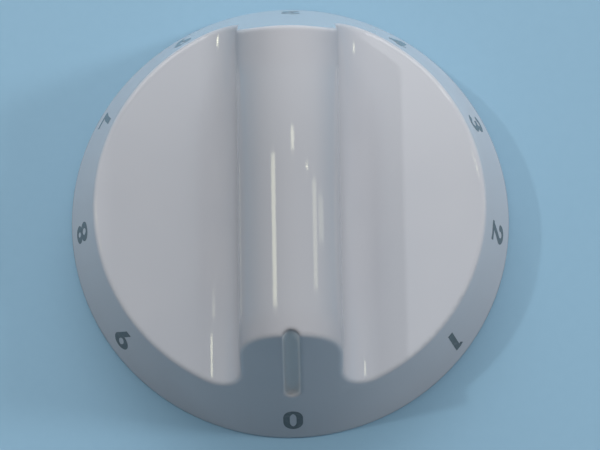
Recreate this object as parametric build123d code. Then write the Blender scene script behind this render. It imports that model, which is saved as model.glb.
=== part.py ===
from build123d import *
import os
from math import cos, hypot, isclose, radians, sin, sqrt, tan

# A push-on control knob for a cooker: a round dial with one straight taper from rim to crown,
# two flat shelves and a half-round grip across the middle. The underside is hollow, with a split
# boss that takes a shaft with one flat, and a spring clip closes the boss on the shaft.
# Millimetres. The axis is +Z, the rim lies in the plane Z = 0 and the pointer faces -Y.

# Outside of the dial
BASE_DIAMETER = 50.0       # across the rim of the skirt
CROWN_HEIGHT = 21.45       # rim plane to the top of the grip
SHELF_HEIGHT = 8.75        # rim plane to the flat shelves beside the grip
TAPER = 21.0               # degrees between the skirt and the axis
GRIP_WIDTH = 11.1          # across the grip, whose top is a full round
GRIP_FOOT = 4.0            # hollow radius where the grip meets the shelves
TOP_EDGE = 0.4             # round where the shelves and the grip meet the taper
RIM_EDGE = 0.2             # round on the outer edge of the rim

# Pointer groove down the near end of the grip
POINTER_WIDTH = 1.95
POINTER_DEPTH = 0.65
POINTER_FOOT = 9.1         # rim plane to the groove's round lower end

# Hollow underside
WALL = 2.0
RIB_THICKNESS = 1.4
RIB_HEIGHT = 2.0           # down from the underside of the shelves

# Boss and shaft socket
BOSS_DIAMETER = 10.8
BOSS_RECESS = 1.0          # rim plane to the boss's mouth
SHAFT_DIAMETER = 6.0
SHAFT_ACROSS_FLAT = 4.6
SHAFT_CLEARANCE = 0.12     # all round the shaft's flatted end
LEAD_IN = 3.0              # round stretch of the socket, before its flat starts
LEAD_IN_CLEARANCE = 0.3    # all round the shaft in that stretch
MOUTH_CHAMFER = 0.4
SOCKET_ROOF = 3.4          # crown left above the socket's blind end
SLOT_WIDTH = 1.4           # the two slots that split the boss
SLOT_DEPTH = 6.5

# Spring clip round the boss
CLIP_LIP = 0.8             # boss mouth to the clip's seat
CLIP_SEAT_DEPTH = 0.4
CLIP_WIDTH = 2.4
CLIP_THICKNESS = 0.6
CLIP_CLEARANCE = 0.05      # between the clip and its seat
CLIP_ROOM = 0.4            # kept free round the clip, so that it can be pushed on
CLIP_GAP = 2.6             # between the clip's two ears
CLIP_EAR = 1.1             # how far the ears stand out
CLIP_BEND = 0.3            # inside of the bend between the strip and each ear

# Places that follow from the sizes above
BASE_RADIUS = BASE_DIAMETER / 2
LEAN = radians(TAPER)
SKIRT_RADIUS = BASE_RADIUS + RIM_EDGE * (tan(LEAN) + 1 / cos(LEAN) - 1)
BOSS_RADIUS = BOSS_DIAMETER / 2
SPRING_LINE = CROWN_HEIGHT - GRIP_WIDTH / 2
FOOT_RADIUS = min(GRIP_FOOT, 0.95 * (SPRING_LINE - SHELF_HEIGHT))
CEILING = SHELF_HEIGHT - WALL
KEYED_RADIUS = SHAFT_DIAMETER / 2 + SHAFT_CLEARANCE
LEAD_IN_RADIUS = SHAFT_DIAMETER / 2 + LEAD_IN_CLEARANCE
FLAT_OFFSET = SHAFT_ACROSS_FLAT - SHAFT_DIAMETER / 2 + SHAFT_CLEARANCE
LEAD_IN_TOP = BOSS_RECESS + LEAD_IN
SOCKET_TOP = CROWN_HEIGHT - SOCKET_ROOF
CLIP_BOTTOM = BOSS_RECESS + CLIP_LIP
CLIP_SEAT_TOP = CLIP_BOTTOM + CLIP_WIDTH + CLIP_CLEARANCE
CLIP_SEAT_RADIUS = BOSS_RADIUS - CLIP_SEAT_DEPTH
CLIP_INNER = CLIP_SEAT_RADIUS + CLIP_CLEARANCE
CLIP_OUTER = CLIP_INNER + CLIP_THICKNESS
OVERCUT = 1.0              # how far a cutting tool runs past the surface it opens
ON_BASE = (Align.CENTER, Align.CENTER, Align.MIN)


def standing(radius, bottom, top):
    """A cylinder on the knob's axis between two heights."""
    return Pos(0, 0, bottom) * Cylinder(radius, top - bottom, align=ON_BASE)


def grip_section(inset, bottom):
    """The profile across the grip and its shelves, drawn in by a wall thickness."""
    half = GRIP_WIDTH / 2 - inset
    shelf = SHELF_HEIGHT - inset
    foot = FOOT_RADIUS + inset
    reach = BASE_RADIUS + OVERCUT
    hollow = foot * (1 - sqrt(0.5))
    lines = []
    for side in (-1, 1):
        toe = (side * (half + foot), shelf)
        heel = (side * half, shelf + foot)
        lines.append(ThreePointArc(toe, (side * (half + hollow), shelf + hollow), heel))
        lines.append(Line(heel, (side * half, SPRING_LINE)))
        lines.append(Polyline(toe, (side * reach, shelf), (side * reach, bottom)))
    lines.append(Line((-reach, bottom), (reach, bottom)))
    lines.append(ThreePointArc((-half, SPRING_LINE), (0, CROWN_HEIGHT - inset), (half, SPRING_LINE)))
    return Plane.XZ * make_face(Curve() + lines)


def tapered_form(inset=0.0, drop=0.0):
    """The knob's outer form, drawn in by a wall thickness and run on below the rim plane."""
    slope = tan(LEAN)
    top = CROWN_HEIGHT + OVERCUT
    radius = SKIRT_RADIUS - inset / cos(LEAN)
    cone = Cone(radius + drop * slope, radius - top * slope, top + drop, align=ON_BASE)
    across = extrude(grip_section(inset, -drop), amount=BASE_RADIUS + OVERCUT, both=True)
    return Pos(0, 0, -drop) * cone & across


def dial():
    """The outside of the knob as a solid, with its edges rounded and the pointer cut."""
    form = tapered_form()
    taper_edges = form.faces().filter_by(GeomType.CONE).edges()
    top_edges = [
        edge for edge in taper_edges
        if edge.geom_type != GeomType.LINE and edge.center().Z > SHELF_HEIGHT / 2
    ]
    form = fillet(top_edges, TOP_EDGE)
    form = fillet(form.edges().group_by(Axis.Z)[0], RIM_EDGE)
    return form - pointer_groove()


def pointer_groove():
    """A round-nosed cutter laid along the taper, from its lower end out past the crown."""
    nose = (POINTER_WIDTH ** 2 / 4 + POINTER_DEPTH ** 2) / (2 * POINTER_DEPTH)
    height = POINTER_FOOT + POINTER_WIDTH / 2 * cos(LEAN)
    lift = nose - POINTER_DEPTH
    surface = SKIRT_RADIUS - height * tan(LEAN)
    start = (0, -surface - lift * cos(LEAN), height + lift * sin(LEAN))
    along = Plane(origin=start, x_dir=(1, 0, 0), z_dir=(0, sin(LEAN), cos(LEAN)))
    return along * Cylinder(nose, CROWN_HEIGHT, align=ON_BASE) + Pos(*start) * Sphere(nose)


def boss():
    """The socket's outer wall, from its mouth up into the grip, with a seat for the clip."""
    post = standing(BOSS_RADIUS, BOSS_RECESS, CROWN_HEIGHT)
    mouth_edge = post.edges().group_by(Axis.Z)[0]
    post = chamfer(mouth_edge, CLIP_SEAT_DEPTH)
    seat = standing(BOSS_RADIUS + OVERCUT, CLIP_BOTTOM, CLIP_SEAT_TOP)
    return post - (seat - standing(CLIP_SEAT_RADIUS, CLIP_BOTTOM, CLIP_SEAT_TOP))


def ribs():
    """Two ribs under the shelves that stop short of the boss, so that it can spring open."""
    bottom = CEILING - RIB_HEIGHT
    bar = Pos(0, 0, bottom) * Box(BASE_DIAMETER, RIB_THICKNESS, RIB_HEIGHT + WALL / 2, align=ON_BASE)
    return bar - standing(CLIP_OUTER + CLIP_ROOM, bottom, CROWN_HEIGHT)


def shaft_socket():
    """The space for the shaft: a chamfered mouth, a round stretch, then a stretch with one flat."""
    below = BOSS_RECESS - OVERCUT
    funnel_depth = MOUTH_CHAMFER + OVERCUT
    funnel = Cone(LEAD_IN_RADIUS + funnel_depth, LEAD_IN_RADIUS, funnel_depth, align=ON_BASE)
    lead_in = standing(LEAD_IN_RADIUS, below, LEAD_IN_TOP)
    beside_flat = Pos(0, FLAT_OFFSET, 0) * Box(
        SHAFT_DIAMETER, SHAFT_DIAMETER, CROWN_HEIGHT, align=(Align.CENTER, Align.MIN, Align.MIN)
    )
    keyed = standing(KEYED_RADIUS, below, SOCKET_TOP) - beside_flat
    return lead_in + keyed + Pos(0, 0, below) * funnel


def boss_slots():
    """The cut that splits the boss's mouth fore and aft."""
    depth = SLOT_DEPTH + OVERCUT
    return Pos(0, 0, BOSS_RECESS - OVERCUT) * Box(SLOT_WIDTH, BOSS_DIAMETER + OVERCUT, depth, align=ON_BASE)


def knob_body():
    """The whole moulding."""
    outside = dial()
    shell = outside - tapered_form(WALL, OVERCUT)
    inside = (boss() + ribs()) & tapered_form(WALL / 2)
    return shell + inside - shaft_socket() - boss_slots()


def ear_corners(strip, radius):
    """The two corners of the clip's outline where its ears leave a circle of the given radius."""
    on_circle = [corner for corner in strip.vertices() if isclose(hypot(corner.X, corner.Y), radius)]
    return [corner for corner in on_circle if corner.Y > CLIP_GAP / 2]


def boss_spring():
    """A bent spring strip round the boss, open towards +Y, with an ear at each end."""
    opening = Pos(0, CLIP_OUTER) * Rectangle(CLIP_GAP, CLIP_OUTER)
    strip = Circle(CLIP_OUTER) - Circle(CLIP_INNER) - opening
    foot = sqrt(CLIP_INNER ** 2 - CLIP_GAP ** 2 / 4)
    ear = Rectangle(CLIP_THICKNESS, CLIP_OUTER + CLIP_EAR - foot, align=(Align.CENTER, Align.MIN))
    for side in (-1, 1):
        strip += Pos(side * (CLIP_GAP + CLIP_THICKNESS) / 2, foot) * ear
    strip = fillet(ear_corners(strip, CLIP_OUTER), CLIP_BEND)
    strip = fillet(ear_corners(strip, CLIP_INNER), CLIP_BEND + CLIP_THICKNESS)
    return Pos(0, 0, CLIP_BOTTOM) * extrude(strip, amount=CLIP_WIDTH)


os.makedirs("parts", exist_ok=True)
for name, piece in (("knob_body", knob_body()), ("boss_spring", boss_spring())):
    export_step(piece, f"parts/{name}.step")
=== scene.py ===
"""A push-on control knob for a cooker, dressed and lit: its moulding, boss spring and printed numerals.

Everything is in metres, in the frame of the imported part: the axis is +Z, the rim stands on Z = 0
and the pointer faces -Y.
"""

import logging
import math
from collections.abc import Mapping
from dataclasses import dataclass
from enum import Enum
from types import MappingProxyType
from typing import Any, Union

import bpy
import numpy as np
from mathutils import Matrix, Vector


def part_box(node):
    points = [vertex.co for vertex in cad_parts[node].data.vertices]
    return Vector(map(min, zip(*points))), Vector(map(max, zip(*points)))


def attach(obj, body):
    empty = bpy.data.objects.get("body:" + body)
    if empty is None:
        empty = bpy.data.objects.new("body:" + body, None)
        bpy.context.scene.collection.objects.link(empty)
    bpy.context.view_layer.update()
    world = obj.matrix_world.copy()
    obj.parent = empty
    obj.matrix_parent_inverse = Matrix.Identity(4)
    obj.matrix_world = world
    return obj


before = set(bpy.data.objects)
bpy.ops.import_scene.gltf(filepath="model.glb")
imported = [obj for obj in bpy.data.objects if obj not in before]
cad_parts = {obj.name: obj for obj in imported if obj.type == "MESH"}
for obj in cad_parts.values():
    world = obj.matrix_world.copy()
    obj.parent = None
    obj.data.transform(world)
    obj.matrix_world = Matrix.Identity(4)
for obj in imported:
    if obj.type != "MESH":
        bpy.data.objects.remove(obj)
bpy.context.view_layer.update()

log = logging.getLogger("control_knob")

Colour = tuple[float, float, float]
Place = tuple[float, float, float]
Point = tuple[float, float]
Span = tuple[float, float]
Operand = Union["Signal", float]
Sockets = Mapping[Union[str, int], Any]

MM = 0.001
BODY = "root"
AS_IT_COMES: Mapping[Any, Any] = MappingProxyType({})
ARC_STEP = 7.5  # degrees between the points of a numeral's curve
CEILING = 0.62  # the height that most lamps hang at
WARM: Colour = (1.0, 1.0, 0.70)


class Step(Enum):
    """The Math node's operations that expressions on shader values use."""

    ADD = "ADD"
    SUBTRACT = "SUBTRACT"
    MULTIPLY = "MULTIPLY"
    POWER = "POWER"
    LARGER = "MAXIMUM"


class Slot(Enum):
    """The record's material slots."""

    PLASTIC = "white_plastic"
    STEEL = "spring_steel"
    INK = "dial_ink"


class Signal:
    """A shader socket that takes part in Python expressions: each operator adds one Math node."""

    def __init__(self, sheet: "NodeSheet", node: bpy.types.Node, output: Union[str, int]) -> None:
        """Wraps one output of a node.

        Args:
            sheet: The sheet that the node is on.
            node: The node.
            output: The output's name or number.
        """
        self.sheet = sheet
        self.node = node
        self.output = output

    @property
    def socket(self) -> bpy.types.NodeSocket:
        """The socket that links start from."""
        return self.node.outputs[self.output]

    def __add__(self, other: Operand) -> "Signal":
        """This value plus another."""
        return self.sheet.maths(Step.ADD, self, other)

    def __radd__(self, other: Operand) -> "Signal":
        """Another value plus this one."""
        return self.sheet.maths(Step.ADD, other, self)

    def __sub__(self, other: Operand) -> "Signal":
        """This value less another."""
        return self.sheet.maths(Step.SUBTRACT, self, other)

    def __rsub__(self, other: Operand) -> "Signal":
        """Another value less this one."""
        return self.sheet.maths(Step.SUBTRACT, other, self)

    def __mul__(self, other: Operand) -> "Signal":
        """This value times another."""
        return self.sheet.maths(Step.MULTIPLY, self, other)

    def __rmul__(self, other: Operand) -> "Signal":
        """Another value times this one."""
        return self.sheet.maths(Step.MULTIPLY, other, self)

    def __pow__(self, other: Operand) -> "Signal":
        """This value raised to a power."""
        return self.sheet.maths(Step.POWER, self, other)

    def __rpow__(self, other: Operand) -> "Signal":
        """Another value raised to this power."""
        return self.sheet.maths(Step.POWER, other, self)

    def or_more(self, other: Operand) -> "Signal":
        """The larger of this value and another."""
        return self.sheet.maths(Step.LARGER, self, other)

    def fade(self, start: float, end: float) -> "Signal":
        """A smooth rise from 0, where this value is at start or under, to 1 at end.

        Args:
            start: The value up to which the result is 0.
            end: The value from which the result is 1.

        Returns:
            The faded value.
        """
        sockets = {"Value": self, "From Min": start, "From Max": end}
        return self.sheet.add("ShaderNodeMapRange", {"interpolation_type": "SMOOTHSTEP"}, sockets)


class NodeSheet:
    """The node tree of one material or of the world, which every node enters by the same method."""

    MIX_FACTOR, MIX_FIRST, MIX_SECOND, MIX_RESULT = 0, 6, 7, 2
    EDGE_SAMPLES = 16

    def __init__(self, owner: Union[bpy.types.Material, bpy.types.World]) -> None:
        """Starts a node tree from nothing.

        Args:
            owner: The material or the world that the tree belongs to.
        """
        owner.use_nodes = True
        self.tree = owner.node_tree
        self.tree.nodes.clear()

    def add(
        self,
        kind: str,
        settings: Mapping[str, Any] = AS_IT_COMES,
        sockets: Sockets = AS_IT_COMES,
        output: Union[str, int] = 0,
    ) -> Signal:
        """Adds one node.

        Args:
            kind: The node's type.
            settings: The node's own properties, set before its sockets.
            sockets: A value or a signal for each input that isn't left as it comes.
            output: The output that the result carries.

        Returns:
            The output, ready for use in expressions.
        """
        node = self.tree.nodes.new(kind)
        for name, setting in settings.items():
            setattr(node, name, setting)
        for key, value in sockets.items():
            if isinstance(value, Signal):
                self.tree.links.new(value.socket, node.inputs[key])
            else:
                node.inputs[key].default_value = value
        return Signal(self, node, output)

    def maths(self, step: Step, first: Operand, second: Operand) -> Signal:
        """One step of arithmetic on values."""
        return self.add("ShaderNodeMath", {"operation": step.value}, {0: first, 1: second})

    def blend(self, share: Operand, first: Any, second: Any) -> Signal:
        """A colour between two others.

        Args:
            share: How much of the second colour shows, from 0 to 1.
            first: The colour at 0, as a signal or as red, green and blue.
            second: The colour at 1.

        Returns:
            The blended colour.
        """
        ends = [end if isinstance(end, Signal) else (*end, 1.0) for end in (first, second)]
        sockets = {self.MIX_FACTOR: share, self.MIX_FIRST: ends[0], self.MIX_SECOND: ends[1]}
        return self.add("ShaderNodeMix", {"data_type": "RGBA"}, sockets, self.MIX_RESULT)

    def place(self) -> Signal:
        """Where a point of the surface lies in the part's frame."""
        return self.add("ShaderNodeTexCoord", output="Object")

    def parts_of(self, vector: Signal) -> tuple[Signal, Signal, Signal]:
        """Takes a vector apart.

        Args:
            vector: The vector.

        Returns:
            Its three numbers.
        """
        split = self.add("ShaderNodeSeparateXYZ", sockets={0: vector}).node
        x, y, z = (Signal(self, split, axis) for axis in "XYZ")
        return x, y, z

    def noise(self, place: Signal, size: float, detail: float = 2.0) -> Signal:
        """Soft random patches.

        Args:
            place: Where the surface point lies.
            size: About how large one patch is, in metres.
            detail: How many finer layers are added.

        Returns:
            A value around one half.
        """
        sockets = {"Vector": place, "Scale": 1 / size, "Detail": detail}
        return self.add("ShaderNodeTexNoise", sockets=sockets)

    def streaks(self, place: Signal, turn: float, length: float, width: float) -> Signal:
        """Soft random streaks that run one way across the plan.

        Args:
            place: Where the surface point lies.
            turn: The streaks' direction from +Y, in degrees about the axis.
            length: About how long one streak is, in metres.
            width: About how wide it is.

        Returns:
            A value around one half.
        """
        sockets = {
            "Vector": place,
            "Rotation": (0.0, 0.0, math.radians(turn)),
            "Scale": (width, length, length),
        }
        turned = self.add("ShaderNodeMapping", {"vector_type": "TEXTURE"}, sockets)
        return self.noise(turned, 1.0, detail=1.0)

    def rounded(self, radius: float) -> Signal:
        """The surface direction as if every edge were rounded a little further."""
        return self.add("ShaderNodeBevel", {"samples": self.EDGE_SAMPLES}, {"Radius": radius}, "Normal")

    def relief(self, height: Signal, depth: float, sockets: Sockets = AS_IT_COMES) -> Signal:
        """A bumped surface direction.

        Args:
            height: The relief, from 0 to 1.
            depth: How deep it is in metres.
            sockets: Further inputs, such as the direction before the relief is added.

        Returns:
            The normal for a shader.
        """
        return self.add("ShaderNodeBump", sockets={"Height": height, "Distance": depth, **sockets})

    def surface(self, sockets: Sockets) -> Signal:
        """A principled surface with these socket values and links."""
        return self.add("ShaderNodeBsdfPrincipled", sockets=sockets)

    def mix(self, share: Signal, first: Signal, second: Signal) -> Signal:
        """A shader between two others, which is the second where share is 1."""
        return self.add("ShaderNodeMixShader", sockets={0: share, 1: first, 2: second})

    def end(self, shader: Signal) -> None:
        """Ends a material's sheet in a shader."""
        self.add("ShaderNodeOutputMaterial", sockets={"Surface": shader})


@dataclass(frozen=True)
class DialForm:
    """The outside of the dial: one straight taper, two shelves and a half-round grip."""

    base_radius: float
    crown: float
    taper: float = math.radians(21.0)
    shelf: float = 8.75 * MM
    grip_half: float = 5.55 * MM
    rim_round: float = 0.2 * MM

    @classmethod
    def from_frame(cls, node: str) -> "DialForm":
        """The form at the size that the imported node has."""
        low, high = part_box(node)
        return cls(base_radius=(high.x - low.x) / 2, crown=high.z)

    @property
    def skirt_radius(self) -> float:
        """The taper's radius in the rim plane, before the rim is rounded."""
        return self.base_radius + self.rim_round * (math.tan(self.taper) + 1 / math.cos(self.taper) - 1)

    @property
    def spring_line(self) -> float:
        """The height at which the grip's walls turn into its round."""
        return self.crown - self.grip_half

    @property
    def slant(self) -> float:
        """The taper's length from its apex to the rim plane."""
        return self.skirt_radius / math.sin(self.taper)

    def on_taper(self, azimuth: float, from_apex: float, lift: float) -> Vector:
        """A point on the taper or just off it.

        Args:
            azimuth: The angle from the pointer towards +X, in radians.
            from_apex: The distance from the taper's apex along the slope.
            lift: How far the point stands out from the surface.

        Returns:
            The point in the part's frame.
        """
        radius = from_apex * math.sin(self.taper) + lift * math.cos(self.taper)
        height = (self.slant - from_apex) * math.cos(self.taper) + lift * math.sin(self.taper)
        return Vector((radius * math.sin(azimuth), -radius * math.cos(azimuth), height))


@dataclass(frozen=True)
class DialSpot:
    """Where a point of the surface lies on the dial, in metres.

    x runs across the grip, y along it and away from the pointer, and z up. inward is the distance
    inside the taper, square to its surface. across is the distance from the grip's middle plane, or
    from its axis in the round, so that it is half the grip's width all over the grip.
    """

    x: Signal
    y: Signal
    z: Signal
    inward: Signal
    across: Signal

    @classmethod
    def at(cls, place: Signal, form: DialForm) -> "DialSpot":
        """Works out the spot of a point.

        Args:
            place: Where the surface point lies in the part's frame.
            form: The outside of the dial.

        Returns:
            The point's spot.
        """
        x, y, z = place.sheet.parts_of(place)
        radius = (x * x + y * y) ** 0.5
        inward = (form.skirt_radius - math.tan(form.taper) * z - radius) * math.cos(form.taper)
        above = (z - form.spring_line).or_more(0.0)
        across = (x * x + above * above) ** 0.5
        return cls(x, y, z, inward, across)


@dataclass(frozen=True)
class PlasticMarks:
    """What the mould and years of use have left on the plastic, with painted light among the marks.

    ripple and grain are noise all over. Every other mark is 1 where it is strongest and 0 elsewhere.
    """

    ripple: Signal
    grain: Signal
    patches: Signal
    clean: Signal
    grip_dark_far_glow: Signal
    paler_groove: Signal
    rubbed: Signal
    scratches: Signal
    dull: Signal
    underside: Signal
    off_skirt: Signal


@dataclass(frozen=True)
class MouldedPlastic:
    """Glossy cool-white plastic with marks of use and painted light outside, and an unpolished underside.

    The grip is darker with a painted glow on its far end, hands have dulled its ends and feet, the far
    shelf ends are painted lighter as painted light, the edges are rubbed, and the pointer groove is paler.
    """

    form: DialForm

    # Colours of the plastic and of its marks
    colour: Colour = (0.485, 0.493, 0.525)
    patch_colour: Colour = (0.460, 0.472, 0.508)
    # Painted light: the shelves' far ends are painted lighter
    far_shelf_light_colour: Colour = (0.540, 0.549, 0.583)
    # The grip's darker colour, which a painted glow lightens towards the far end
    grip_dark_colour: Colour = (0.385, 0.390, 0.416)
    # The pointer groove's paler colour
    paler_groove_colour: Colour = (0.60, 0.60, 0.60)
    rubbed_colour: Colour = (0.535, 0.542, 0.566)
    underside_colour: Colour = (0.44, 0.447, 0.47)
    rubbed_strength: float = 0.25
    # The share of the grip's darkening kept at its far end; the rest is lifted as a painted glow
    far_grip_dark_share: float = 0.4

    # Gloss: the roughness outside and underneath, and what each mark adds outside
    gloss: float = 0.02
    underside_roughness: float = 0.48
    patch_roughness: float = 0.006
    scratch_roughness: float = 0.10
    rubbed_roughness: float = 0.08
    grip_dark_roughness: float = 0.01
    refraction: float = 1.52

    # Sizes of the form that the marks follow
    foot: float = 4.0 * MM
    edge: float = 0.7 * MM
    skin: float = 1.0 * MM
    soft_edge: float = 0.75 * MM
    groove_half: float = 1.0 * MM

    # Sizes of the random marks, and the part of the noise over which each comes up
    patch_size: float = 14.0 * MM
    patch_span: Span = (0.3, 0.7)
    rubbed_size: float = 2.5 * MM
    rubbed_span: Span = (0.35, 0.75)
    scratch_length: float = 9.0 * MM
    scratch_width: float = 0.10 * MM
    scratch_span: Span = (0.70, 0.78)
    scratch_turns: tuple[float, ...] = (8.0, 71.0, 128.0)
    ripple_size: float = 2.2 * MM
    grain_size: float = 0.16 * MM

    # Relief: its depth, the shares of it that each mark has, and what the skirt keeps of them
    relief_depth: float = 0.006 * MM
    ripple_relief: float = 0.1
    grain_relief: float = 0.003
    scratch_relief: float = 0.03
    underside_relief: float = 0.3
    skirt_relief: float = 0.2

    def material(self) -> bpy.types.Material:
        """The finish as a material.

        Returns:
            A material for the moulding.
        """
        made = bpy.data.materials.new("moulded_white_plastic")
        sheet = NodeSheet(made)
        marks = self._marks(sheet)
        colour = self._colour(sheet, marks)
        rounded = sheet.rounded(self.soft_edge)
        polished = {
            "Base Color": colour,
            "Roughness": self._roughness(marks),
            "IOR": self.refraction,
            "Normal": sheet.relief(self._height(marks), self.relief_depth, {"Normal": rounded}),
        }
        matt = {"Base Color": colour, "Roughness": 1.0, "Specular IOR Level": 0.0, "Normal": rounded}
        sheet.end(sheet.mix(marks.dull, sheet.surface(polished), sheet.surface(matt)))
        return made

    def _marks(self, sheet: NodeSheet) -> PlasticMarks:
        """Finds every mark.

        Args:
            sheet: The node sheet to draw on.

        Returns:
            The marks.
        """
        place = sheet.place()
        spot = DialSpot.at(place, self.form)
        on_grip = self._on_grip(spot)
        underside = self._underside(spot)
        outside = 1 - underside
        worn = sheet.noise(place, self.rubbed_size).fade(*self.rubbed_span)
        return PlasticMarks(
            ripple=sheet.noise(place, self.ripple_size, detail=1.0),
            grain=sheet.noise(place, self.grain_size, detail=3.0),
            patches=sheet.noise(place, self.patch_size).fade(*self.patch_span),
            # The next two marks hold painted light: lighter far shelves, and a glow on the grip's far end
            clean=self._far_shelf_light(spot),
            grip_dark_far_glow=self._grip_dark_far_glow(spot, on_grip),
            paler_groove=self._paler_groove(spot) * outside,
            rubbed=self._edges(spot) * worn,
            scratches=self._scratches(place) * outside,
            dull=self._film(spot).or_more(self._thumbed(spot, on_grip)),
            underside=underside,
            off_skirt=spot.inward.fade(0.0, self.edge),
        )

    def _colour(self, sheet: NodeSheet, marks: PlasticMarks) -> Signal:
        """Lays the marks' colours over the plastic's own, one after another.

        Args:
            sheet: The node sheet to draw on.
            marks: The marks.

        Returns:
            The colour that shows.
        """
        layers = (
            # The first two layers hold painted light: lighter far shelves, and a glow on the grip's far
            # end
            (marks.clean, self.far_shelf_light_colour),
            (marks.grip_dark_far_glow, self.grip_dark_colour),
            (marks.paler_groove, self.paler_groove_colour),
            (marks.rubbed * self.rubbed_strength, self.rubbed_colour),
            (marks.underside, self.underside_colour),
        )
        shown = sheet.blend(marks.patches, self.colour, self.patch_colour)
        for mark, colour in layers:
            shown = sheet.blend(mark, shown, colour)
        return shown

    def _roughness(self, marks: PlasticMarks) -> Signal:
        """Adds up how rough the surface is.

        Args:
            marks: The marks.

        Returns:
            The roughness.
        """
        return (
            self.gloss
            + self.patch_roughness * marks.patches
            + self.scratch_roughness * marks.scratches
            + self.rubbed_roughness * marks.rubbed
            + self.grip_dark_roughness * marks.grip_dark_far_glow
            + marks.underside * (self.underside_roughness - self.gloss)
        )

    def _height(self, marks: PlasticMarks) -> Signal:
        """Adds up the fine relief, which is weaker on the skirt and coarser underneath.

        Args:
            marks: The marks.

        Returns:
            The height as a share of the relief's depth.
        """
        moulded = marks.ripple * self.ripple_relief + marks.grain * self.grain_relief
        outside = moulded - marks.scratches * self.scratch_relief
        kept = self.skirt_relief + (1 - self.skirt_relief) * marks.off_skirt
        return outside * kept + marks.grain * marks.underside * self.underside_relief

    def _underside(self, spot: DialSpot) -> Signal:
        """Marks the hollow side of the shell: deeper than its skin under shelves and grip.

        Args:
            spot: Where the surface point lies.

        Returns:
            1 in the hollow and 0 outside.
        """
        half, shelf = self.form.grip_half, self.form.shelf
        shallow, deep = 0.8 * self.skin, 1.2 * self.skin
        under_shelf = 1 - spot.z.fade(shelf - deep, shelf - shallow)
        in_grip = 1 - spot.across.fade(half - deep, half - shallow)
        return spot.inward.fade(shallow, deep) * under_shelf.or_more(in_grip)

    def _edges(self, spot: DialSpot) -> Signal:
        """Marks the edges that shelves and grip make with the taper.

        Args:
            spot: Where the surface point lies.

        Returns:
            1 on the edges and 0 away from them.
        """
        half, shelf, edge = self.form.grip_half, self.form.shelf, self.edge
        beside_core = spot.across.fade(half - edge, half)
        return (1 - spot.inward.fade(0.0, edge)) * beside_core * spot.z.fade(shelf - edge, shelf)

    def _on_grip(self, spot: DialSpot) -> Signal:
        """Marks the grip's walls and crown, but not its hollow feet or the pointer groove.

        Args:
            spot: Where the surface point lies.

        Returns:
            1 on the walls and the crown, and 0 on the shelves and inside the grip.
        """
        half, shelf, foot, edge = self.form.grip_half, self.form.shelf, self.foot, self.edge
        above_foot = spot.z.fade(shelf + 0.2 * foot, shelf + foot)
        return above_foot * spot.across.fade(half - 1.5 * edge, half - 0.5 * edge)

    def _grip_dark_far_glow(self, spot: DialSpot, on_grip: Signal) -> Signal:
        """Marks where the grip is darker, most towards the pointer, with a painted glow that lightens its
        far end.

        Args:
            spot: Where the surface point lies.
            on_grip: 1 on the grip's walls and crown.

        Returns:
            Up to 1 on the walls and the crown, and 0 elsewhere.
        """
        # Painted glow: the darkening fades towards the grip's far end
        far = spot.y.fade(0.0, 4.0 * self.foot)
        return on_grip * spot.inward.fade(0.0, 0.5 * self.edge) * (1 - (1 - self.far_grip_dark_share) * far)

    def _far_shelf_light(self, spot: DialSpot) -> Signal:
        """Marks the far ends of the shelves, painted lighter as painted light from the far side.

        Args:
            spot: Where the surface point lies.

        Returns:
            Up to 1 on the shelves' far ends, and 0 on the grip and the skirt.
        """
        half, foot = self.form.grip_half, self.foot
        on_shelf = spot.across.fade(half + 0.4 * foot, half + 1.2 * foot)
        # Painted light: the far ends of the shelves are lighter
        return on_shelf * spot.inward.fade(0.0, self.edge) * spot.y.fade(0.0, 4.5 * foot)

    def _paler_groove(self, spot: DialSpot) -> Signal:
        """Marks the pointer groove, which is coloured paler.

        Args:
            spot: Where the surface point lies.

        Returns:
            1 in the groove and 0 on the surface round it.
        """
        half, edge, groove = self.form.grip_half, self.edge, self.groove_half
        in_groove = 1 - (spot.x * spot.x).fade(groove**2, (1.3 * groove) ** 2)
        under_crown = 1 - spot.across.fade(half - edge, half - 0.3 * edge)
        return in_groove * under_crown * spot.inward.fade(0.0, 0.4 * edge)

    def _thumbed(self, spot: DialSpot, on_grip: Signal) -> Signal:
        """Marks the grip's two ends, rubbed dull behind their edges, and further at the far end.

        Args:
            spot: Where the surface point lies.
            on_grip: 1 on the grip's walls and crown.

        Returns:
            1 behind the edges and 0 elsewhere.
        """
        edge, foot = self.edge, self.foot
        further = 2.5 * edge * spot.y.fade(-foot, foot)
        beyond = (spot.inward - further).fade(1.6 * edge, 4.5 * edge)
        return on_grip * spot.inward.fade(0.0, 0.2 * edge) * (1 - beyond)

    def _film(self, spot: DialSpot) -> Signal:
        """Marks the dull film in the hollow feet of the grip, away from their open ends.

        Args:
            spot: Where the surface point lies.

        Returns:
            1 in the feet and 0 on the shelves and the grip.
        """
        half, foot = self.form.grip_half, self.foot
        beside_wall = spot.across.fade(half, half + 0.4 * foot)
        before_shelf = 1 - spot.across.fade(half + 0.95 * foot, half + 1.35 * foot)
        return beside_wall * before_shelf * spot.inward.fade(0.8 * foot, 2.4 * foot)

    def _scratches(self, place: Signal) -> Operand:
        """Marks fine scratches in a few directions.

        Args:
            place: Where the surface point lies.

        Returns:
            1 on a scratch and 0 between them.
        """
        found: Operand = 0.0
        for turn in self.scratch_turns:
            lines = place.sheet.streaks(place, turn, self.scratch_length, self.scratch_width)
            found = lines.fade(*self.scratch_span).or_more(found)
        return found


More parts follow.
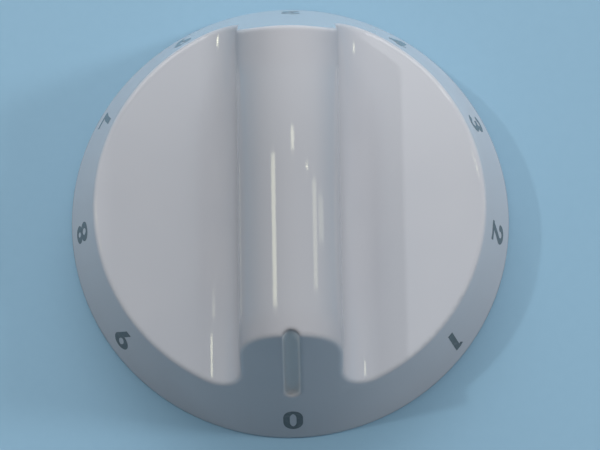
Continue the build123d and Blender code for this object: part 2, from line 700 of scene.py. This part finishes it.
@dataclass(frozen=True)
class SpringSteel:
    """Bright strip steel, drawn lengthwise and a little dulled by handling."""

    colour: Colour = (0.55, 0.56, 0.58)
    dull_colour: Colour = (0.40, 0.40, 0.41)
    roughness: float = 0.26
    drawn_roughness: float = 0.18
    dull_roughness: float = 0.12
    drawn_lines: Place = (60.0, 60.0, 9000.0)  # in each metre along X, Y and Z
    dull_size: float = 1.5 * MM
    dull_span: Span = (0.45, 0.75)
    relief_depth: float = 0.004 * MM

    def material(self) -> bpy.types.Material:
        """The finish as a material.

        Returns:
            A material for the boss spring.
        """
        made = bpy.data.materials.new("drawn_spring_steel")
        sheet = NodeSheet(made)
        place = sheet.place()
        lengthwise = sheet.add("ShaderNodeMapping", sockets={"Vector": place, "Scale": self.drawn_lines})
        drawn = sheet.noise(lengthwise, 1.0)
        dull = sheet.noise(place, self.dull_size, detail=3.0).fade(*self.dull_span)
        steel = {
            "Base Color": sheet.blend(dull, self.colour, self.dull_colour),
            "Metallic": 1.0,
            "Roughness": self.roughness + self.drawn_roughness * drawn + self.dull_roughness * dull,
            "Normal": sheet.relief(drawn, self.relief_depth),
        }
        sheet.end(sheet.surface(steel))
        return made


@dataclass(frozen=True)
class PrintedInk:
    """Dark grey pad-printing ink, a little thin and matt in patches."""

    colour: Colour = (0.089, 0.104, 0.110)
    thin_colour: Colour = (0.134, 0.150, 0.156)
    roughness: float = 0.08
    thin_roughness: float = 0.08
    grain_roughness: float = 0.04
    thin_size: float = 0.5 * MM
    thin_span: Span = (0.42, 0.80)
    grain_size: float = 0.08 * MM
    relief_depth: float = 0.0005 * MM

    def material(self) -> bpy.types.Material:
        """The finish as a material.

        Returns:
            A material for the numerals.
        """
        made = bpy.data.materials.new("printed_ink")
        sheet = NodeSheet(made)
        place = sheet.place()
        thin = sheet.noise(place, self.thin_size, detail=3.0).fade(*self.thin_span)
        grain = sheet.noise(place, self.grain_size)
        ink = {
            "Base Color": sheet.blend(thin, self.colour, self.thin_colour),
            "Roughness": self.roughness + self.thin_roughness * thin + self.grain_roughness * grain,
            "Normal": sheet.relief(grain, self.relief_depth),
        }
        sheet.end(sheet.surface(ink))
        return made


@dataclass(frozen=True)
class FloorFinish:
    """A plain pale blue-grey sheet with a faint grain."""

    colour: Colour = (0.255, 0.430, 0.565)
    grain_colour: Colour = (0.240, 0.410, 0.545)
    roughness: float = 0.7
    grain_size: float = 1.2 * MM

    def material(self) -> bpy.types.Material:
        """The finish as a material.

        Returns:
            A material for the floor.
        """
        made = bpy.data.materials.new("pale_floor")
        sheet = NodeSheet(made)
        grain = sheet.noise(sheet.place(), self.grain_size, detail=4.0)
        shown = sheet.blend(grain, self.colour, self.grain_colour)
        sheet.end(sheet.surface({"Base Color": shown, "Roughness": self.roughness}))
        return made


def put_in_scene(name: str, data: bpy.types.ID) -> bpy.types.Object:
    """Makes an object and adds it to the scene.

    Args:
        name: The object's name.
        data: Its mesh, lamp or camera.

    Returns:
        The object.
    """
    made = bpy.data.objects.new(name, data)
    bpy.context.scene.collection.objects.link(made)
    return made


@dataclass
class PackedPiece:
    """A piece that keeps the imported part's shape and gets a finish."""

    node: str
    slot: Slot

    def dress(self, finish: Union[MouldedPlastic, SpringSteel]) -> bpy.types.Object:
        """Gives the piece its finish.

        Args:
            finish: What the piece is made of.

        Returns:
            The piece's object.
        """
        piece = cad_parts[self.node]
        piece.data.materials.clear()
        piece.data.materials.append(finish.material())
        return piece


@dataclass(frozen=True)
class Stroke:
    """One pass of the pen: the points of its centre line, and whether it closes on itself."""

    points: tuple[Point, ...]
    closed: bool = False


def bow(
    middle: float, centre: float, half: float, reach: float, start: float, end: float
) -> tuple[Point, ...]:
    """Points along part of an upright oval.

    Args:
        middle: The oval's middle across.
        centre: The height of its centre.
        half: Half its width.
        reach: The height of its top or of its foot.
        start: The angle to start from, in degrees from the right, anticlockwise.
        end: The angle to end at.

    Returns:
        The points in order.
    """
    rise = abs(reach - centre)
    count = max(2, round(abs(end - start) / ARC_STEP) + 1)
    angles = [math.radians(angle) for angle in np.linspace(start, end, count)]
    return tuple((middle + half * math.cos(angle), centre + rise * math.sin(angle)) for angle in angles)


@dataclass(frozen=True)
class NumeralFace:
    """Plain narrow numerals, drawn in shares of their height with a pen that is broad across."""

    width: float = 0.54
    stem: float = 0.178
    bar: float = 0.145

    def strokes(self, digit: int) -> list[Stroke]:
        """The pen's passes for one numeral.

        Args:
            digit: The numeral, from 0 to 9.

        Returns:
            Its strokes, from (0, 0) at the lower left to (width, 1) at the upper right.
        """
        if digit == 6:
            return [self._half_turn(stroke) for stroke in self.strokes(9)]
        left, right = self.stem / 2, self.width - self.stem / 2
        low, high = self.bar / 2, 1 - self.bar / 2
        middle, half = self.width / 2, (right - left) / 2
        forms = {
            0: [self._ring(middle, half, low, high, 0.62, 0.38)],
            1: [
                Stroke(((0.37, 0.0), (0.37, 1.0))),
                Stroke(((0.37, 0.95), (0.19, 0.895))),
            ],
            2: [
                Stroke(bow(middle, 0.715, half, high, 200, -25) + ((left + 0.01, low),)),
                Stroke(((0.0, low), (self.width, low))),
            ],
            3: [
                Stroke(bow(0.26, 0.745, half - 0.012, high, 165, -90) + ((0.19, 0.5625),)),
                Stroke(((0.19, 0.52),) + bow(middle, 0.2965, half, low, 90, -165)),
            ],
            4: [
                Stroke(((0.36, 0.0), (0.36, 1.0))),
                Stroke(((0.36, 1.02), (0.06, 0.27))),
                Stroke(((0.0, 0.25), (self.width, 0.25))),
            ],
            5: [
                Stroke(((0.075, high), (self.width - 0.03, high))),
                Stroke(((0.145, 1.0), (0.115, 0.48))),
                Stroke(bow(middle, 0.312, half, low, 135, -165)),
            ],
            7: [
                Stroke(((0.0, high), (self.width, high))),
                Stroke(((0.45, high), (0.31, 0.55), (0.16, -0.08))),
            ],
            8: [
                self._ring(middle, half - 0.02, 0.56, high, 0.745, 0.745),
                self._ring(middle, half, low, 0.52, 0.296, 0.296),
            ],
            9: [
                self._ring(middle, half, 0.4425, high, 0.685, 0.685),
                Stroke(bow(middle, 0.685, half, high, 0, -30) + ((0.165, -0.05),)),
            ],
        }
        return forms[digit]

    def _ring(
        self, middle: float, half: float, low: float, high: float, upper: float, lower: float
    ) -> Stroke:
        """A closed ring of two half ovals, with straight sides where their centres lie apart.

        Args:
            middle: The ring's middle across.
            half: Half its width.
            low: The height of its lowest point.
            high: The height of its highest point.
            upper: The height of the upper oval's centre.
            lower: The height of the lower oval's centre.

        Returns:
            The closed stroke.
        """
        over = bow(middle, upper, half, high, 0, 180)
        under = bow(middle, lower, half, low, 180, 360)
        return Stroke(over + under[1:-1] if upper == lower else over + under, closed=True)

    def _half_turn(self, stroke: Stroke) -> Stroke:
        """A stroke turned upside down about the numeral's middle."""
        return Stroke(tuple((self.width - x, 1 - y) for x, y in stroke.points), stroke.closed)

    def outside_ink(self, digit: int, x: np.ndarray, y: np.ndarray) -> np.ndarray:
        """How far points lie outside a numeral's ink.

        Args:
            digit: The numeral.
            x: The points' places across, in shares of the height.
            y: Their places upwards.

        Returns:
            A distance for each point, below zero in the ink, which ends level at foot and head.
        """
        stretch = np.array((1.0, self.stem / self.bar))
        points = np.stack((x, y), axis=-1) * stretch
        pen = self.stem / 2
        nearest = np.full(x.shape, np.inf)
        for stroke in self.strokes(digit):
            path = np.array(stroke.points) * stretch
            ends = np.roll(path, -1, axis=0) if stroke.closed else path[1:]
            for start, end in zip(path, ends):
                nearest = np.minimum(nearest, self._outside_run(points, start, end, pen))
            joints = path if stroke.closed else path[1:-1]
            for joint in joints:
                nearest = np.minimum(nearest, np.linalg.norm(points - joint, axis=-1) - pen)
        return np.maximum.reduce((nearest, -y, y - 1))

    @staticmethod
    def _outside_run(points: np.ndarray, start: np.ndarray, end: np.ndarray, pen: float) -> np.ndarray:
        """How far points lie outside one straight, square-ended run of the pen.

        Args:
            points: The points to measure.
            start: Where the run starts.
            end: Where it ends.
            pen: Half the pen's width.

        Returns:
            A distance for each point, below zero in the run.
        """
        length = np.linalg.norm(end - start)
        along = (end - start) / length
        offset = points - start
        ahead = offset @ along
        aside = np.abs(offset @ np.array((-along[1], along[0])))
        return np.maximum.reduce((aside - pen, -ahead, ahead - length))


@dataclass
class DialNumerals:
    """The ring of printed numerals round the taper, with their tops towards the rim."""

    form: DialForm
    face: NumeralFace
    height: float = 4.05 * MM
    head_from_rim: float = 2.35 * MM
    first_azimuth: float = math.radians(51.4)
    pitch: float = math.radians(31.9)
    early_digit: int = 7
    early_by: float = math.radians(1.2)
    count: int = 10
    thickness: float = 0.010 * MM
    rooted: float = 0.03 * MM
    cell: float = 0.05 * MM
    snap: float = 0.1  # the share of a cell within which a point counts as just inside the ink
    sharp_angle: float = math.radians(40.0)

    def build(self, finish: PrintedInk) -> list[bpy.types.Object]:
        """Prints every numeral.

        Args:
            finish: The ink.

        Returns:
            One piece for each numeral.
        """
        ink = finish.material()
        return [self._numeral(digit, ink) for digit in range(self.count)]

    def _azimuth(self, digit: int) -> float:
        """Where a numeral stands: 0 at the pointer, the others at one pitch, one of them a little early.

        Args:
            digit: The numeral.

        Returns:
            Its angle from the pointer in radians.
        """
        if digit == 0:
            return 0.0
        early = self.early_by if digit == self.early_digit else 0.0
        return self.first_azimuth + (digit - 1) * self.pitch - early

    def _numeral(self, digit: int, ink: bpy.types.Material) -> bpy.types.Object:
        """Prints one numeral as a thin layer on the taper.

        Args:
            digit: The numeral.
            ink: Its material.

        Returns:
            The numeral's piece, riding on the knob.
        """
        flat, faces = self._outline(digit)
        count = len(flat)
        azimuth = self._azimuth(digit)
        top = [self._wrap(point, azimuth, self.thickness) for point in flat]
        bottom = [self._wrap(point, azimuth, -self.rooted) for point in flat]
        under = [[corner + count for corner in reversed(face)] for face in faces]
        sides = [[end, start, start + count, end + count] for start, end in self._border(faces)]
        mesh = bpy.data.meshes.new(f"numeral_{digit}")
        mesh.from_pydata(top + bottom, [], faces + under + sides)
        mesh.polygons.foreach_set("use_smooth", [True] * len(mesh.polygons))
        mesh.set_sharp_from_angle(angle=self.sharp_angle)
        mesh.materials.append(ink)
        piece = put_in_scene(mesh.name, mesh)
        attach(piece, BODY)
        return piece

    def _outline(self, digit: int) -> tuple[list[Point], list[list[int]]]:
        """Fills a numeral with small faces that end on its ink's edge.

        Args:
            digit: The numeral.

        Returns:
            The flat points, in metres from the numeral's middle, and the faces between them.
        """
        step = self.cell / self.height
        columns = np.arange(-step, self.face.width + 2 * step, step)
        rows = np.arange(-step, 1 + 2 * step, step)
        x, y = np.meshgrid(columns, rows, indexing="ij")
        outside = self.face.outside_ink(digit, x, y)
        outside[np.abs(outside) < self.snap * step] = -self.snap * step
        found: dict[tuple, int] = {}
        flat: list[Point] = []

        def number(key: tuple, place: Point) -> int:
            """Numbers a point, which is added the first time that it is met.

            Args:
                key: The grid point, or the two that the point lies between.
                place: Where it lies, in shares of the height.

            Returns:
                Its index.
            """
            if key not in found:
                found[key] = len(flat)
                right, up = place[0] - self.face.width / 2, place[1] - 0.5
                flat.append((right * self.height, up * self.height))
            return found[key]

        faces = []
        for i in range(len(columns) - 1):
            for j in range(len(rows) - 1):
                corners = ((i, j), (i + 1, j), (i + 1, j + 1), (i, j + 1))
                face = []
                for here, there in zip(corners, corners[1:] + corners[:1]):
                    if outside[here] < 0:
                        face.append(number(here, (x[here], y[here])))
                    if (outside[here] < 0) != (outside[there] < 0):
                        share = outside[here] / (outside[here] - outside[there])
                        crossing = (
                            x[here] + share * (x[there] - x[here]),
                            y[here] + share * (y[there] - y[here]),
                        )
                        face.append(number(tuple(sorted((here, there))), crossing))
                if face:
                    faces.append(face)
        return flat, faces

    @staticmethod
    def _border(faces: list[list[int]]) -> list[tuple[int, int]]:
        """The edges that only one face has.

        Args:
            faces: The faces.

        Returns:
            Each such edge, in its face's direction.
        """
        edges = {edge for face in faces for edge in zip(face, face[1:] + face[:1])}
        return sorted(edge for edge in edges if edge[::-1] not in edges)

    def _wrap(self, point: Point, azimuth: float, lift: float) -> Vector:
        """Lays a flat point on the taper without stretching it, as a sheet wraps a cone.

        Args:
            point: The point from the numeral's middle, to its right and upwards.
            azimuth: The numeral's angle from the pointer.
            lift: How far the point stands out from the surface.

        Returns:
            The point in the part's frame.
        """
        right, up = point
        out = self.form.slant - self.head_from_rim - self.height / 2 + up
        turn = math.atan2(right, out) / math.sin(self.form.taper)
        return self.form.on_taper(azimuth - turn, math.hypot(right, out), lift)


class LampPlace(Enum):
    """Where the studio's lamps stand."""

    FAR = "far_softbox"
    OVERHEAD = "overhead_softbox"
    LEFT = "left_key"
    RIGHT = "right_key"
    LEFT_GLINT = "left_strip"
    MIDDLE_GLINT = "middle_strip"
    SPOT_GLINT = "spot_strip"
    RIGHT_GLINT = "right_strip"
    LOW_RIGHT_GLINT = "low_right_strip"
    NEAR_LEFT_GLINT = "near_left_strip"
    NEAR_RIGHT_GLINT = "near_right_strip"
    FAR_LEFT_GLINT = "far_left_strip"
    FAR_RIGHT_GLINT = "far_right_strip"


@dataclass(frozen=True)
class Lamp:
    """One rectangular lamp that faces the knob and may show in its gloss."""

    place: LampPlace
    position: Place
    length: float
    width: float
    watts: float
    glints: bool = True
    colour: Colour = (1.0, 1.0, 1.0)

    def hang(self) -> None:
        """Adds the lamp to the scene."""
        light = bpy.data.lights.new(self.place.value, "AREA")
        light.shape = "RECTANGLE"
        light.size, light.size_y = self.length, self.width
        light.energy = self.watts
        light.color = self.colour
        lamp = put_in_scene(self.place.value, light)
        lamp.matrix_world = Matrix.Translation(self.position) @ self._facing().to_4x4()
        lamp.visible_glossy = self.glints

    def _facing(self) -> Matrix:
        """How the lamp stands: its front to the knob and its length as near to the grip's as it goes.

        Returns:
            A rotation from the lamp's own axes to the part's.
        """
        back = Vector(self.position).normalized()
        along = (Vector((0.0, 1.0, 0.0)) - back.y * back).normalized()
        return Matrix((along, back.cross(along), back)).transposed()


@dataclass(frozen=True)
class Viewpoint:
    """The camera: almost straight down on the dial, from the pointer's side."""

    position: Place = (0.001614, -0.059390, 0.279775)
    tilt: float = math.radians(11.876)
    roll: float = math.radians(-1.441)
    yaw: float = math.radians(0.5)
    lens: float = 150.0
    nearest: float = 0.01

    def set_up(self) -> None:
        """Adds the camera and makes it the scene's."""
        data = bpy.data.cameras.new("viewpoint")
        data.lens = self.lens
        data.clip_start = self.nearest
        camera = put_in_scene("viewpoint", data)
        aim = Matrix.Rotation(self.yaw, 4, "Z") @ Matrix.Rotation(self.tilt, 4, "X")
        rolled = aim @ Matrix.Rotation(self.roll, 4, "Z")
        camera.matrix_world = Matrix.Translation(self.position) @ rolled
        bpy.context.scene.camera = camera


@dataclass
class Studio:
    """The pale floor, the soft surrounding light, the lamps and the camera."""

    viewpoint: Viewpoint
    floor_finish: FloorFinish
    floor_reach: float = 3.0

    # The glow all round, and the span of directions over which it rises towards its bright side
    bright_side: Place = (0.2, 0.93, 0.3)
    bright: Colour = (0.61, 0.622, 0.648)
    dim: Colour = (0.063, 0.0715, 0.079)
    glow_span: Span = (-0.8, 1.0)

    # The backdrop, which takes over from the floor's colour above the horizon
    backdrop: Colour = (0.60, 0.70, 0.78)
    backdrop_rise: float = 0.5

    # Each lamp's place, position, length, width and watts
    lamps: tuple[Lamp, ...] = (
        Lamp(LampPlace.FAR, (0.05, 1.15, 0.42), 0.22, 1.2, 3.3, glints=False),
        Lamp(LampPlace.OVERHEAD, (0.0, 0.26, 0.30), 0.15, 0.4, 0.54),
        Lamp(LampPlace.LEFT, (-0.47, 0.120, CEILING), 0.022, 0.024, 0.90, glints=False),
        Lamp(LampPlace.RIGHT, (0.96, 0.120, CEILING), 0.15, 0.15, 3.75, glints=False),
        Lamp(LampPlace.LEFT_GLINT, (-0.420, 0.147, CEILING), 0.062, 0.115, 0.11, colour=WARM),
        Lamp(LampPlace.MIDDLE_GLINT, (0.106, 0.155, CEILING), 0.008, 0.076, 0.0105, colour=WARM),
        Lamp(LampPlace.SPOT_GLINT, (0.549, 0.192, CEILING), 0.002, 0.07, 0.005, colour=WARM),
        Lamp(LampPlace.RIGHT_GLINT, (1.008, 0.236, CEILING), 0.064, 0.20, 0.10, colour=WARM),
        Lamp(LampPlace.LOW_RIGHT_GLINT, (2.397, 0.522, CEILING), 0.050, 0.60, 0.15, colour=WARM),
        Lamp(LampPlace.NEAR_LEFT_GLINT, (-0.302, 0.0885, CEILING), 0.018, 0.070, 0.027, colour=WARM),
        Lamp(LampPlace.NEAR_RIGHT_GLINT, (0.693, 0.119, CEILING), 0.008, 0.08, 0.012, colour=WARM),
        Lamp(LampPlace.FAR_LEFT_GLINT, (-0.862, 0.322, CEILING), 0.004, 0.11, 0.022, colour=WARM),
        Lamp(LampPlace.FAR_RIGHT_GLINT, (1.263, 0.416, CEILING), 0.006, 0.15, 0.020, colour=WARM),
    )

    def set_up(self) -> None:
        """Builds the whole studio."""
        bpy.context.scene.view_settings.view_transform = "Standard"
        self._lay_floor()
        self._surround()
        for lamp in self.lamps:
            lamp.hang()
        self.viewpoint.set_up()

    def _lay_floor(self) -> None:
        """Lays the floor under the rim."""
        reach = self.floor_reach
        corners = [(x * reach, y * reach, 0.0) for x, y in ((-1, -1), (1, -1), (1, 1), (-1, 1))]
        mesh = bpy.data.meshes.new("floor")
        mesh.from_pydata(corners, [], [(0, 1, 2, 3)])
        mesh.materials.append(self.floor_finish.material())
        put_in_scene("floor", mesh)

    def _surround(self) -> None:
        """Lights the scene softly from all round, most from the far side, before a pale backdrop."""
        world = bpy.data.worlds.new("surround")
        bpy.context.scene.world = world
        sheet = NodeSheet(world)
        outward = sheet.add("ShaderNodeTexCoord", output="Generated")
        facing = {0: outward, 1: self.bright_side}
        towards = sheet.add("ShaderNodeVectorMath", {"operation": "DOT_PRODUCT"}, facing, "Value")
        glow = sheet.blend(towards.fade(*self.glow_span), self.dim, self.bright)
        _, _, height = sheet.parts_of(outward)
        risen = height.fade(0.0, self.backdrop_rise)
        sweep = sheet.blend(risen, self.floor_finish.colour, self.backdrop)
        light, shown = (sheet.add("ShaderNodeBackground", sockets={"Color": hue}) for hue in (glow, sweep))
        rays = [f"Is {kind} Ray" for kind in ("Camera", "Glossy", "Transmission")]
        straight, mirrored, bent = (sheet.add("ShaderNodeLightPath", output=ray) for ray in rays)
        seen = straight.or_more(mirrored).or_more(bent)
        sheet.add("ShaderNodeOutputWorld", sockets={"Surface": sheet.mix(seen, light, shown)})


def main() -> None:
    """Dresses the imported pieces, prints the numerals, sets up the studio and reports each piece."""
    logging.basicConfig(level=logging.INFO, format="%(name)s: %(message)s")
    form = DialForm.from_frame("knob_body")
    moulding = PackedPiece("knob_body", Slot.PLASTIC)
    spring = PackedPiece("boss_spring", Slot.STEEL)
    for piece, finish in ((moulding, MouldedPlastic(form)), (spring, SpringSteel())):
        dressed = piece.dress(finish)
        log.info("%s dressed for slot %s", dressed.name, piece.slot.value)
    for numeral in DialNumerals(form, NumeralFace()).build(PrintedInk()):
        log.info("%s printed with %d faces", numeral.name, len(numeral.data.polygons))
    Studio(Viewpoint(), FloorFinish()).set_up()


if __name__ == "__main__":
    main()
